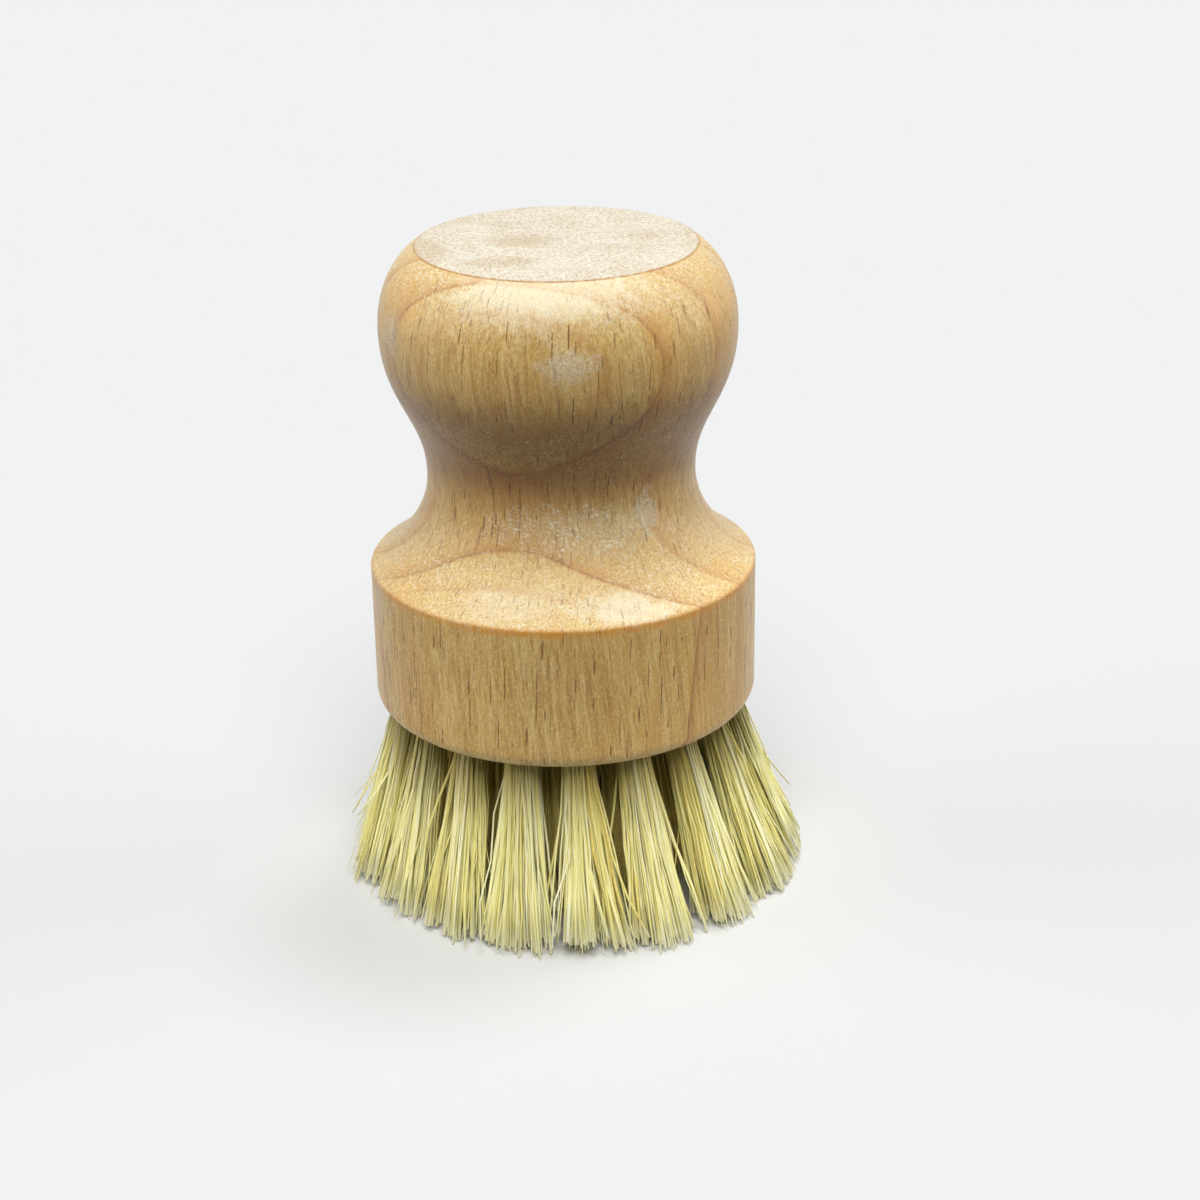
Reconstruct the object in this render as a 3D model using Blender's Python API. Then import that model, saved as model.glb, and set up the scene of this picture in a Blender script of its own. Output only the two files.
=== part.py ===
"""Palm dish brush: one turned wooden handle, and fibre tufts held by wire staples in drilled holes.

The brush stands on its trimmed bristle tips. The origin is on that plane, under the middle of the
handle, and +Z runs up the handle to the flat on its knob. All lengths are in metres.
"""

import math

import bmesh
import bpy
from mathutils import Matrix, Vector
from mathutils.geometry import interpolate_bezier

# Handle: heights are stacked from the tuft face, the flat underside that the tufts stand in.
# The cove runs from the rim to the waist and the swell from there to the knob; a reach is how far
# the curve keeps the direction of its end. The flat cuts the top off the knob's crown.
BLOCK_RADIUS = 0.0250
BLOCK_HEIGHT = 0.0193
BLOCK_BOTTOM_ROUNDING = 0.0020
RIM_ROUNDING = 0.0006
COVE_ANGLE = math.radians(27)
COVE_REACH_AT_RIM = 0.0035
COVE_REACH_AT_WAIST = 0.0060
WAIST_RADIUS = 0.0172
WAIST_ABOVE_RIM = 0.0120
KNOB_RADIUS = 0.0226
KNOB_ABOVE_WAIST = 0.0192
SWELL_REACH_AT_WAIST = 0.0080
SWELL_REACH_AT_KNOB = 0.0090
CROWN_HEIGHT = 0.0103
CROWN_CUT_AWAY = 0.0007
FLAT_RADIUS = 0.0177

# Tufts: a bundle of fibre folded in two, its fold at the end of the hole.
BRISTLE_LENGTH = 0.0240
BRUSH_FACE_RADIUS = 0.0305
HOLE_RADIUS = 0.0021
HOLE_DEPTH = 0.0090
DRILL_POINT_SLOPE = math.radians(31)
DRILL_TIP_RADIUS = 0.0002
LAND_AT_ROUNDING = 0.0002
FIT_GAP = 0.0003
ROOT_RECESS = 0.0007
FOLD_ROUNDING = 0.0009
STRAND_EMBED = 0.0005
STRAND_TIP_RADIUS = 0.00055

# Staples: flat wire bent to a U, its bridge inside the fold and its legs driven into the wood.
WIRE_THICKNESS = 0.0005
WIRE_WIDTH = 0.0007
STAPLE_INSET = 0.0002
STAPLE_BELOW_FOLD = 0.0016
STAPLE_DRIVE = 0.0026
STAPLE_BEND = 0.0003
STAPLE_POINT = 0.0006

# Shares: places given as parts of the sizes that they follow.
STRAND_RING_SHARES = ((3, 0.30), (9, 0.72))  # strands, part of the tuft's radius
STRAND_ROOT_SHARE = 0.17  # of the tuft's radius
STRAND_BOW_SHARE = 0.5  # of the bristles' length
STRAND_STATION_SHARES = (0.0, 0.5, 1.0)  # along a strand, root to tip

# Facets round the axis, steps along the handle's outline, and how far every cut runs past.
HANDLE_FACETS = 60
HOLE_FACETS = 12
ROOT_FACETS = 8
STRAND_SIDES = 3
BOTTOM_STEPS = 4
RIM_STEPS = 3
COVE_STEPS = 8
SWELL_STEPS = 9
CROWN_STEPS = 7
CUT_OVERRUN = 0.0010
GOLDEN_ANGLE = math.pi * (3 - math.sqrt(5))

TUFT_RADIUS = HOLE_RADIUS - FIT_GAP
TUFT_FACE = BRISTLE_LENGTH
RIM_LEVEL = TUFT_FACE + BLOCK_HEIGHT
WAIST_LEVEL = RIM_LEVEL + WAIST_ABOVE_RIM
KNOB_LEVEL = WAIST_LEVEL + KNOB_ABOVE_WAIST
FLAT_LEVEL = KNOB_LEVEL + CROWN_HEIGHT


class TuftRing:
    """One circle of tufts: how many, how far the holes lean out and how the tips spread.

    The holes' shares are of the widest circle that fits the tuft face, and a turn's of the step
    between two tufts. The tips' shares are of the brush face's radius: where a tuft's middle
    ends, and how far its tips reach from there, outwards and across.
    """

    def __init__(self, name, count, lean, turn_share, hole_share, tip_shares):
        self.name = name
        self.count = count
        self.lean = math.radians(lean)
        self.turn_share = turn_share
        flat_radius = BLOCK_RADIUS - BLOCK_BOTTOM_ROUNDING - LAND_AT_ROUNDING
        self.radius = hole_share * (flat_radius - HOLE_RADIUS / math.cos(self.lean))
        self.tip_radius, reach_out, reach_across = (BRUSH_FACE_RADIUS * part for part in tip_shares)
        outermost = TUFT_RADIUS * max(share for _, share in STRAND_RING_SHARES)
        self.fan_out = (reach_out - STRAND_TIP_RADIUS) / outermost
        self.fan_across = (reach_across - STRAND_TIP_RADIUS) / outermost

    def angle(self, index):
        """Turn about Z of a tuft. The outer circle's first tuft faces the front, at -Y."""
        return (index + self.turn_share) * math.tau / self.count - math.pi / 2

    def hole_frame(self):
        """From the hole's own frame (+Z into the wood along its axis) to the ring's frame."""
        mouth = Matrix.Translation((self.radius, 0, TUFT_FACE))
        return mouth @ Matrix.Rotation(-self.lean, 4, "Y")


TUFT_RINGS = (
    TuftRing("outer", 18, 11, turn_share=0, hole_share=1, tip_shares=(0.905, 0.095, 0.14)),
    TuftRing("middle", 10, 6, turn_share=0.585, hole_share=0.61, tip_shares=(0.53, 0.16, 0.15)),
    TuftRing("centre", 1, 0, turn_share=0, hole_share=0, tip_shares=(0, 0.2, 0.2)),
)


def clear_scene():
    for old in list(bpy.data.objects):
        bpy.data.objects.remove(old)


def new_collection(name, shown):
    collection = bpy.data.collections.new(name)
    collection.hide_render = not shown
    bpy.context.scene.collection.children.link(collection)
    return collection


def principled(name, colour, roughness, metallic):
    material = bpy.data.materials.new(name)
    material.use_nodes = True
    shader = material.node_tree.nodes["Principled BSDF"]
    shader.inputs["Base Color"].default_value = (*colour, 1)
    shader.inputs["Roughness"].default_value = roughness
    shader.inputs["Metallic"].default_value = metallic
    return material


def add_object(name, mesh, collection, material=None, matrix=None):
    thing = bpy.data.objects.new(name, mesh)
    if material and not mesh.materials:
        mesh.materials.append(material)
    if matrix is not None:
        thing.matrix_world = matrix
    collection.objects.link(thing)
    return thing


def add_helper(name, mesh, collection, matrix=None):
    """A cutter or a guide: seen as wire, and left out of the model."""
    helper = add_object(name, mesh, collection, matrix=matrix)
    helper.hide_render = True
    helper.display_type = "WIRE"
    return helper


def add_boolean(thing, name, operation, operand):
    modifier = thing.modifiers.new(name, "BOOLEAN")
    modifier.operation = operation
    modifier.solver = "EXACT"
    if isinstance(operand, bpy.types.Collection):
        modifier.operand_type = "COLLECTION"
        modifier.collection = operand
    else:
        modifier.object = operand


def mesh_from(name, shape, smooth_angle=None):
    """Turns a bmesh into a mesh with its faces pointing out."""
    bmesh.ops.recalc_face_normals(shape, faces=shape.faces)
    mesh = bpy.data.meshes.new(name)
    shape.to_mesh(mesh)
    shape.free()
    if smooth_angle is not None:
        mesh.shade_smooth()
        mesh.set_sharp_from_angle(angle=smooth_angle)
    return mesh


def turned(name, outline, facets, smooth_angle=None):
    """Spins an open outline of (radius, height) points about Z and closes both ends flat.

    The middle of a facet, not an edge, faces along each of X and Y.
    """
    shape = bmesh.new()
    start = Matrix.Rotation(math.pi / facets, 3, "Z")
    points = [shape.verts.new(start @ Vector((radius, 0, height))) for radius, height in outline]
    edges = [shape.edges.new(pair) for pair in zip(points, points[1:])]
    bmesh.ops.spin(
        shape,
        geom=points + edges,
        cent=(0, 0, 0),
        axis=(0, 0, 1),
        angle=math.tau,
        steps=facets,
        use_merge=True,
    )
    rims = [edge for edge in shape.edges if edge.is_boundary]
    bmesh.ops.holes_fill(shape, edges=rims, sides=facets)
    return mesh_from(name, shape, smooth_angle)


def arc(centre, radii, start, end, steps):
    """Points of an elliptical arc, from angle start to angle end, measured from the radius axis."""
    angles = [start + (end - start) * step / steps for step in range(steps + 1)]
    return [
        (centre[0] + radii[0] * math.cos(angle), centre[1] + radii[1] * math.sin(angle))
        for angle in angles
    ]


def bezier(start, start_handle, end_handle, end, steps):
    knots = [Vector((*point, 0)) for point in (start, start_handle, end_handle, end)]
    return [tuple(point.xy) for point in interpolate_bezier(*knots, steps + 1)]


def handle_outline():
    """The turned outline: rounded block, crisp rim, cove to the waist, swell and crowned knob."""
    bottom = arc(
        (BLOCK_RADIUS - BLOCK_BOTTOM_ROUNDING, TUFT_FACE + BLOCK_BOTTOM_ROUNDING),
        (BLOCK_BOTTOM_ROUNDING, BLOCK_BOTTOM_ROUNDING),
        -math.pi / 2,
        0,
        BOTTOM_STEPS,
    )
    rim_turn = math.pi / 2 - COVE_ANGLE
    rim_centre = (BLOCK_RADIUS - RIM_ROUNDING, RIM_LEVEL - RIM_ROUNDING * math.sin(rim_turn))
    rim = arc(rim_centre, (RIM_ROUNDING, RIM_ROUNDING), 0, rim_turn, RIM_STEPS)
    cove_start = rim[-1]
    cove = bezier(
        cove_start,
        (
            cove_start[0] - COVE_REACH_AT_RIM * math.cos(COVE_ANGLE),
            cove_start[1] + COVE_REACH_AT_RIM * math.sin(COVE_ANGLE),
        ),
        (WAIST_RADIUS, WAIST_LEVEL - COVE_REACH_AT_WAIST),
        (WAIST_RADIUS, WAIST_LEVEL),
        COVE_STEPS,
    )
    swell = bezier(
        (WAIST_RADIUS, WAIST_LEVEL),
        (WAIST_RADIUS, WAIST_LEVEL + SWELL_REACH_AT_WAIST),
        (KNOB_RADIUS, KNOB_LEVEL - SWELL_REACH_AT_KNOB),
        (KNOB_RADIUS, KNOB_LEVEL),
        SWELL_STEPS,
    )
    crown_rise = CROWN_HEIGHT + CROWN_CUT_AWAY
    crown_end = math.asin(CROWN_HEIGHT / crown_rise)
    crown_reach = (KNOB_RADIUS - FLAT_RADIUS) / (1 - math.cos(crown_end))
    crown = arc(
        (KNOB_RADIUS - crown_reach, KNOB_LEVEL),
        (crown_reach, crown_rise),
        0,
        crown_end,
        CROWN_STEPS,
    )
    return bottom + rim + cove[1:] + swell[1:] + crown[1:]


def hole_outline():
    """A drilled hole in its own frame, with the drill's pointed end."""
    mouth = -HOLE_RADIUS * math.tan(max(ring.lean for ring in TUFT_RINGS)) - CUT_OVERRUN
    tip = HOLE_DEPTH + (HOLE_RADIUS - DRILL_TIP_RADIUS) * math.tan(DRILL_POINT_SLOPE)
    return [(HOLE_RADIUS, mouth), (HOLE_RADIUS, HOLE_DEPTH), (DRILL_TIP_RADIUS, tip)]


def root_outline():
    """The packed bundle in the hole, from just inside the mouth to its rounded fold."""
    return [
        (TUFT_RADIUS, ROOT_RECESS),
        (TUFT_RADIUS, HOLE_DEPTH - FOLD_ROUNDING),
        (TUFT_RADIUS - FOLD_ROUNDING, HOLE_DEPTH),
    ]


def mirrored(right):
    """Adds the left half to the right half of an outline in the (Y, Z) plane."""
    return right + [(-across, height) for across, height in reversed(right)]


def staple_outline():
    """The staple's U: a bridge through the fold, rounded bends and two pointed legs."""
    outer = TUFT_RADIUS - STAPLE_INSET
    bottom = HOLE_DEPTH - STAPLE_BELOW_FOLD - WIRE_THICKNESS / 2
    point = HOLE_DEPTH + STAPLE_DRIVE
    return mirrored(
        [
            (outer - STAPLE_BEND, bottom),
            (outer, bottom + STAPLE_BEND),
            (outer, point),
            (outer - WIRE_THICKNESS, point - STAPLE_POINT),
            (outer - WIRE_THICKNESS, bottom + WIRE_THICKNESS),
        ]
    )


def staple_way_outline():
    """The way that the staple takes through the bundle: a tunnel and two notches in its flanks."""
    inner = TUFT_RADIUS - STAPLE_INSET - WIRE_THICKNESS - FIT_GAP
    bottom = HOLE_DEPTH - STAPLE_BELOW_FOLD - WIRE_THICKNESS / 2 - FIT_GAP
    ceiling = bottom + WIRE_THICKNESS + 2 * FIT_GAP
    return mirrored(
        [
            (TUFT_RADIUS + CUT_OVERRUN, bottom),
            (TUFT_RADIUS + CUT_OVERRUN, HOLE_DEPTH + CUT_OVERRUN),
            (inner, HOLE_DEPTH + CUT_OVERRUN),
            (inner, ceiling),
        ]
    )


def extruded(name, outline, width):
    """A closed outline in the (Y, Z) plane, extruded evenly about it along X."""
    shape = bmesh.new()
    points = [shape.verts.new((-width / 2, across, height)) for across, height in outline]
    face = shape.faces.new(points)
    grown = bmesh.ops.extrude_face_region(shape, geom=[face])
    moved = [item for item in grown["geom"] if isinstance(item, bmesh.types.BMVert)]
    bmesh.ops.translate(shape, verts=moved, vec=(width, 0, 0))
    return mesh_from(name, shape)


def leg_pocket(name, side):
    """The slot that one staple leg makes in the wood past the hole's end."""
    outer = side * (TUFT_RADIUS - STAPLE_INSET + FIT_GAP)
    inner = side * (TUFT_RADIUS - STAPLE_INSET - WIRE_THICKNESS - FIT_GAP)
    low = HOLE_DEPTH - CUT_OVERRUN
    high = HOLE_DEPTH + STAPLE_DRIVE + FIT_GAP
    outline = [(inner, low), (outer, low), (outer, high), (inner, high)]
    return extruded(name, outline, WIRE_WIDTH + 2 * FIT_GAP)


def strand_places(turn):
    """Where the strands stand across the tuft, as (X, Y) in the hole's frame."""
    places = []
    for count, share in STRAND_RING_SHARES:
        for index in range(count):
            angle = turn + index * math.tau / count + share * math.pi
            reach = share * TUFT_RADIUS
            places.append((reach * math.cos(angle), reach * math.sin(angle)))
    return places


def strand_stations(ring, place):
    """Centre, two cross directions and radius at each station of one strand, root to tip.

    Every strand of a tuft leaves along the hole's axis and spreads in proportion to its place, so
    no two of them cross. The tip's cross-section lies in the plane that the tips are trimmed to.
    """
    hole = ring.hole_frame()
    axis = hole.to_3x3() @ Vector((0, 0, 1))
    out = hole.to_3x3() @ Vector((1, 0, 0))
    across = Vector((0, 1, 0))
    root = hole @ Vector((*place, ROOT_RECESS + STRAND_EMBED))
    bow = root - axis * (STRAND_BOW_SHARE * BRISTLE_LENGTH / math.cos(ring.lean))
    tip = Vector((ring.tip_radius + ring.fan_out * place[0], ring.fan_across * place[1], 0))
    stations = []
    for share in STRAND_STATION_SHARES:
        centre = root * (1 - share) ** 2 + bow * (2 * share * (1 - share)) + tip * share**2
        outward = out.lerp(Vector((1, 0, 0)), share).normalized()
        root_radius = STRAND_ROOT_SHARE * TUFT_RADIUS
        radius = root_radius + (STRAND_TIP_RADIUS - root_radius) * share
        stations.append((centre, outward, across, radius))
    return stations


def strands_mesh(name, ring, turn):
    """All the strands of one tuft, each a closed prism bent along its own stations.

    A strand stands for a lock of fibres, so it widens towards its tip as the fibres part.
    """
    shape = bmesh.new()
    for place in strand_places(turn):
        loops = []
        for centre, outward, across, radius in strand_stations(ring, place):
            angles = [turn + side * math.tau / STRAND_SIDES for side in range(STRAND_SIDES)]
            corners = [
                centre + radius * (outward * math.cos(angle) + across * math.sin(angle))
                for angle in angles
            ]
            loops.append([shape.verts.new(corner) for corner in corners])
        shape.faces.new(loops[0])
        shape.faces.new(loops[-1])
        for lower, upper in zip(loops, loops[1:]):
            for side in range(STRAND_SIDES):
                after = (side + 1) % STRAND_SIDES
                shape.faces.new((lower[side], lower[after], upper[after], upper[side]))
    return mesh_from(name, shape)


def build_tufts(shown, helpers, fibre, steel):
    """Each tuft and its staple, and the cutters that make room for them in the wood."""
    root = turned("tuft_root", root_outline(), ROOT_FACETS, smooth_angle=math.radians(50))
    staple = extruded("staple", staple_outline(), WIRE_WIDTH)
    way = extruded("staple_way", staple_way_outline(), WIRE_WIDTH + 2 * FIT_GAP)
    drill = turned("drill", hole_outline(), HOLE_FACETS)
    pockets = [leg_pocket(f"leg_pocket_{side}", side) for side in (-1, 1)]
    drills = new_collection("hole_cutters", shown=False)
    for ring in TUFT_RINGS:
        for index in range(ring.count):
            label = f"{ring.name}_{index + 1:02d}"
            ring_frame = Matrix.Rotation(ring.angle(index), 4, "Z")
            place = ring_frame @ ring.hole_frame()
            turn = index * GOLDEN_ANGLE
            tuft = add_object(f"tuft_{label}", root.copy(), shown, fibre, place)
            strands = strands_mesh(f"strands_{label}", ring, turn)
            bristles = add_helper(f"strands_{label}", strands, helpers, ring_frame)
            opening = add_helper(f"staple_way_{label}", way, helpers, place)
            add_boolean(tuft, "bristles", "UNION", bristles)
            add_boolean(tuft, "staple_way", "DIFFERENCE", opening)
            add_object(f"staple_{label}", staple, shown, steel, place)
            add_helper(f"drill_{label}", drill, drills, place)
            for side, pocket in enumerate(pockets):
                add_helper(f"leg_pocket_{label}_{side}", pocket, drills, place)
    return drills


def build_handle(shown, drills, wood):
    mesh = turned("turned_handle", handle_outline(), HANDLE_FACETS, math.radians(25))
    handle = add_object("turned_handle", mesh, shown, wood)
    add_boolean(handle, "drilled_holes", "DIFFERENCE", drills)


def main():
    clear_scene()
    wood = principled("oiled_wood", (0.58, 0.36, 0.15), 0.45, 0)
    fibre = principled("plant_fibre", (0.78, 0.68, 0.36), 0.6, 0)
    steel = principled("galvanised_wire", (0.55, 0.56, 0.57), 0.4, 1)
    shown = new_collection("dish_brush", shown=True)
    helpers = new_collection("guides", shown=False)
    drills = build_tufts(shown, helpers, fibre, steel)
    build_handle(shown, drills, wood)


main()
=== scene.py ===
"""Looks of a palm dish brush: the turned wood, its tufts of plant fibre, and the studio round them.

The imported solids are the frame. The wood and the tufts are made again here in full detail, in the
places that the solids hold, and the staples keep their solids. Lengths are in metres, except in
the patterns of the materials, which are drawn in millimetres.
"""

import math

import bmesh
import bpy
import numpy as np
from mathutils import Matrix, Vector
from mathutils.geometry import interpolate_bezier


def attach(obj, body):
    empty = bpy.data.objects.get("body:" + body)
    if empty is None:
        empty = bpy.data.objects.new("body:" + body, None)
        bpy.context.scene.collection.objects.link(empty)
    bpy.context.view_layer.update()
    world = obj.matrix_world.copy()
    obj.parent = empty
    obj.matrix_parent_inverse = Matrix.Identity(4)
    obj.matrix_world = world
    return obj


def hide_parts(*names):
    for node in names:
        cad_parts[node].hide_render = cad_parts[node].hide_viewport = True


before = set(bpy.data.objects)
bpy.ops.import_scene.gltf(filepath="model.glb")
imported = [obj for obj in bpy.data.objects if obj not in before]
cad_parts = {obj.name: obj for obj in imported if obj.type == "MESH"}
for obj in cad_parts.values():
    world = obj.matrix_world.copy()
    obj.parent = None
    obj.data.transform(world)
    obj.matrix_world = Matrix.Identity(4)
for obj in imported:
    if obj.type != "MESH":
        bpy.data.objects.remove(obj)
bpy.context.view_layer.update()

# Handle: the same sizes as the solid's. Heights are stacked from the tuft face.
BLOCK_RADIUS = 0.0250
BLOCK_HEIGHT = 0.0193
BLOCK_BOTTOM_ROUNDING = 0.0020
RIM_ROUNDING = 0.0006
COVE_ANGLE = math.radians(27)
COVE_REACH_AT_RIM = 0.0035
COVE_REACH_AT_WAIST = 0.0060
WAIST_RADIUS = 0.0172
WAIST_ABOVE_RIM = 0.0120
KNOB_RADIUS = 0.0226
KNOB_ABOVE_WAIST = 0.0192
SWELL_REACH_AT_WAIST = 0.0080
SWELL_REACH_AT_KNOB = 0.0090
CROWN_HEIGHT = 0.0103
CROWN_CUT_AWAY = 0.0007
FLAT_RADIUS = 0.0177
FLAT_EDGE = 0.00012

# Holes and tufts: the same layout as the solids'.
BRISTLE_LENGTH = 0.0240
BRUSH_FACE_RADIUS = 0.0305
HOLE_RADIUS = 0.0021
HOLE_DEPTH = 0.0090
DRILL_POINT_SLOPE = math.radians(31)
DRILL_TIP_RADIUS = 0.0002
LAND_AT_ROUNDING = 0.0002
STAPLE_BELOW_FOLD = 0.0016
CUT_OVERRUN = 0.0010

TUFT_FACE = BRISTLE_LENGTH
RIM_LEVEL = TUFT_FACE + BLOCK_HEIGHT
WAIST_LEVEL = RIM_LEVEL + WAIST_ABOVE_RIM
KNOB_LEVEL = WAIST_LEVEL + KNOB_ABOVE_WAIST
FLAT_LEVEL = KNOB_LEVEL + CROWN_HEIGHT

# Steps along the handle's outline, facets round it, and the angle from which an edge looks sharp.
HANDLE_FACETS = 240
HOLE_FACETS = 28
BOTTOM_STEPS = 10
WALL_STEPS = 12
RIM_STEPS = 6
COVE_STEPS = 26
SWELL_STEPS = 30
CROWN_STEPS = 20
EDGE_STEPS = 3
SHARP_ANGLE = math.radians(24)

# Fibres: flat plant fibres, each folded in two over the staple, so each gives two bristles.
FOLDED_FIBRES = 115
FIBRE_WIDTH = 0.00033
FIBRE_WIDTH_SPREAD = 0.40
FIBRE_WIDTH_LIMITS = (0.00018, 0.00070)
FIBRE_FLATNESS_SHARE = 0.42
FIBRE_THICKEST = 0.00022
FIBRE_TIP_NARROWING = 0.26
FIBRE_TURN = 0.50
FIBRE_TWIST = 0.45
FIBRE_WAVE = 0.00014
FIBRE_SIDES = 6

# Their way in the wood: how they are packed, and the narrower fold over the staple.
PACKED_RADIUS = 0.00190
PACKED_JITTER_SHARE = 0.03
DEEP_STATION = 0.0055
FOLD_SHARE_ACROSS = 0.92
FOLD_SHARE_ALONG = 0.6
SHOULDER_SHARE = 0.8

# Their way below it. The stations are shares of a bristle's length, from the wood to its tip.
FREE_STATIONS = (0.0, 0.1, 0.3, 0.52, 0.76, 1.0)
TIP_SHIFT = (0.00135, -0.00008)
TIP_JITTER = 0.00062
CLUMPS = 9
CLUMP_SHIFT = 0.00085
CLUMP_PULL_SHARE = 0.30
BOW_STRAIGHT_SHARE = 0.70
BOW_JITTER = 0.00032
TIP_RISE = 0.00060
CLUMP_RISE = 0.00045
TIP_RISE_LIMITS = (0.00010, 0.0032)
WILD_SHARE = 0.07
WILD_JITTER = 0.0018
WILD_BEND = 2.5
SPREAD_LIMIT = 0.0315

# Loose bristles that stand off some tufts, each as (share of the length that it reaches down from
# the wood, degrees that it splays).
LOOSE_BRISTLES = {
    "outer_14": ((0.92, 20.5), (0.72, 26)),
    "outer_15": ((0.58, 30), (0.76, 24.5), (0.66, 27), (0.90, 20.5)),
    "outer_16": ((0.96, 21), (0.74, 22)),
    "outer_04": ((1.0, 21.5),),
    "outer_05": ((0.98, 21.5), (0.94, 23)),
    "outer_06": ((0.80, 24.5), (0.95, 22)),
    "outer_09": ((0.70, 26), (0.85, 22)),
    "outer_11": ((0.80, 24),),
}
LOOSE_SIDE_JITTER = 0.0016

# A bristle's tone: what all have, then the random shares of its clump and of its own.
TONE_BASE = 0.05
TONE_OF_CLUMP = 0.42
TONE_OF_BRISTLE = 0.55

# How far a fibre's end caps reach on its flat map, as shares of a column and of a row.
CAP_REACH = (0.45, 0.4)

# Year rings, in millimetres: the pith lies behind the handle, so they show as arcs, and below the
# rim they lean. Each ring is (radius from the pith, how far it fades in, how dark).
PITH = (9.8, 29.5)
RING_SPAN = 66.0
RING_EDGE = 0.25
RING_LEAN = 0.07
RING_LEAN_TOP = 43.0
YEAR_RINGS = (
    (7.0, 2.5, 0.6),
    (13.5, 4.0, 0.7),
    (20.5, 4.5, 0.65),
    (27.0, 4.0, 0.7),
    (34.2, 4.0, 0.9),
    (43.8, 3.2, 0.95),
    (49.3, 3.2, 1.0),
    (51.9, 1.2, 0.80),
    (53.6, 1.2, 0.45),
    (59.5, 3.0, 0.6),
)
RING_POWER = 1.6
RING_LINE_POWER = 8

# Noise patterns of the wood: (cell in millimetres, detail, roughness). Those of the grain wander
# sideways and lean with it, by degrees about X, Y and Z. Those of the surface don't.
WANDER_CELL = (22, 22, 45)
WANDER_REACH = (2.0, 2.0, 0)
GRAIN_LEAN = (-3, 5, 0)
GRAIN_PATTERNS = {
    "broad": ((2.6, 2.6, 60), 2, 0.5),
    "streaks": ((0.42, 0.42, 48), 3, 0.6),
    "fibres": ((0.16, 0.16, 11.0), 2, 0.6),
}
SURFACE_PATTERNS = {
    "clouds": ((9, 9, 16), 3, 0.5),
    "mottle": ((1.1, 1.1, 2.4), 3, 0.6),
    "relief": ((0.24, 0.24, 0.42), 3, 0.7),
    "flecks": ((0.42, 0.42, 0.34), 3, 0.75),
    "patches": ((3.0, 3.0, 3.0), 1, 0.5),
    "torn": ((0.20, 0.20, 0.28), 3, 0.75),
    "sanded": ((0.44, 0.66, 1.0), 4, 0.75),
    "soft": ((5.0, 6.0, 3.0), 3, 0.5),
}
FINE_VESSEL_CELL = (0.21, 0.21, 5.0)
SPECK_CELL = (0.55, 0.9, 5.0)

# Layers of the grain, one over the other: (pattern, fade, colour). A fade, here and below, is the
# low and the high end of what it follows, then what it gives at each of them.
GRAIN_BASE = (0.630, 0.400, 0.112, 1)
GRAIN_LAYERS = (
    ("broad", (0.36, 0.64, 0, 1), (0.730, 0.505, 0.175, 1)),
    ("clouds", (0.35, 0.70, 0, 0.5), (0.740, 0.435, 0.105, 1)),
    ("mottle", (0.32, 0.52, 0.18, 0), (0.560, 0.325, 0.086, 1)),
    ("streaks", (0.30, 0.50, 0.66, 0), (0.410, 0.205, 0.052, 1)),
    ("streaks", (0.50, 0.68, 0, 0.62), (0.870, 0.650, 0.285, 1)),
    ("fibres", (0.32, 0.46, 0.62, 0), (0.410, 0.215, 0.058, 1)),
)

# Fades and shares of the wood's other layers.
CROSS_GRAIN_FADE = (0.20, 0.75, 0, 1)
END_GRAIN_FADE = (0.93, 0.995, 0, 1)
CROSS_GRAIN_AND_HIGHLIGHT_SHARE = 0.38
WARM_SHARE = 0.7
PAINTED_SHEEN_ON_CROSS_GRAIN = (0, 1, 0.45, 0.95)
RINGS_UNDER_PAINTED_SHEEN = (0, 1, 1.0, 0.35)
HOLLOW_FADE = (0.34, 0.50, 0.52, 0)
RAISED_FADE = (0.52, 0.66, 0, 0.74)
RELIEF_ON_CROSS_GRAIN = (0, 1, 0.55, 1.0)
HOLLOWS_UNDER_PAINTED_SHEEN = (0.1, 0.6, 1.0, 0.35)
RING_SHARE = 0.56
RING_LINE_FADE = (0.35, 0.65, 0.55, 1.0)
FINE_VESSEL_FADE = (0.28, 0.10, 0, 0.55)
VESSELS_ON_CROSS_GRAIN = (0, 1, 1.0, 0.5)
PATCH_FADE = (0.35, 0.65, 0.45, 1.0)
UNEVEN_FADE = (0.32, 0.58, 0.40, 1.0)
GLINT_FADE = (0.52, 0.63, 0, 1)
GLINTS_EVERYWHERE = 0.05
GLINTS_ON_CROSS_GRAIN = 0.70
GLINTS_ON_SCUFFS = 0.7
EXTRA_FLECKS_WHERE_TORN = 0.010
EDGE_CORE_SHARE = 0.2
RIM_REACH = 0.9
FLAT_EDGE_REACH = 0.30
FLAT_EDGE_SHARE = 0.8
SCUFF_FADE = (0.45, 0.57, 0.10, 1.0)
SCUFF_SHARE = 0.70

# The sanded flat's own fades and shares.
SANDED_FADE = (0.34, 0.62, 0, 1)
SANDED_SHADE_FADE = (0.48, 0.68, 0, 0.40)
SMUDGE_FADE = (0.30, 0.60, 1.0, 0.55)
SMUDGE_SHARE = 0.75
SPECK_FADE = (0.25, 0.13, 0, 1)
SPECKS_BY_PLACE = (0.42, 0.60, 0.12, 0.80)
FLAT_RING_SHARE = 0.20

# Relief of the wood and how dull it is.
TORN_RELIEF = 0.12
TORN_RELIEF_ON_CROSS_GRAIN = 0.9
FIBRE_RELIEF = 0.35
GLINT_RELIEF = 0.35
VESSEL_RELIEF = 0.9
RELIEF_STRENGTH = 0.7
RELIEF_DEPTH = 0.00015
WOOD_ROUGHNESS_FADE = (0.3, 0.7, 0.24, 0.42)
SCUFF_ROUGHNESS = 0.25
END_GRAIN_ROUGHNESS = 0.25
WOOD_SPECULAR = 0.40

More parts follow.
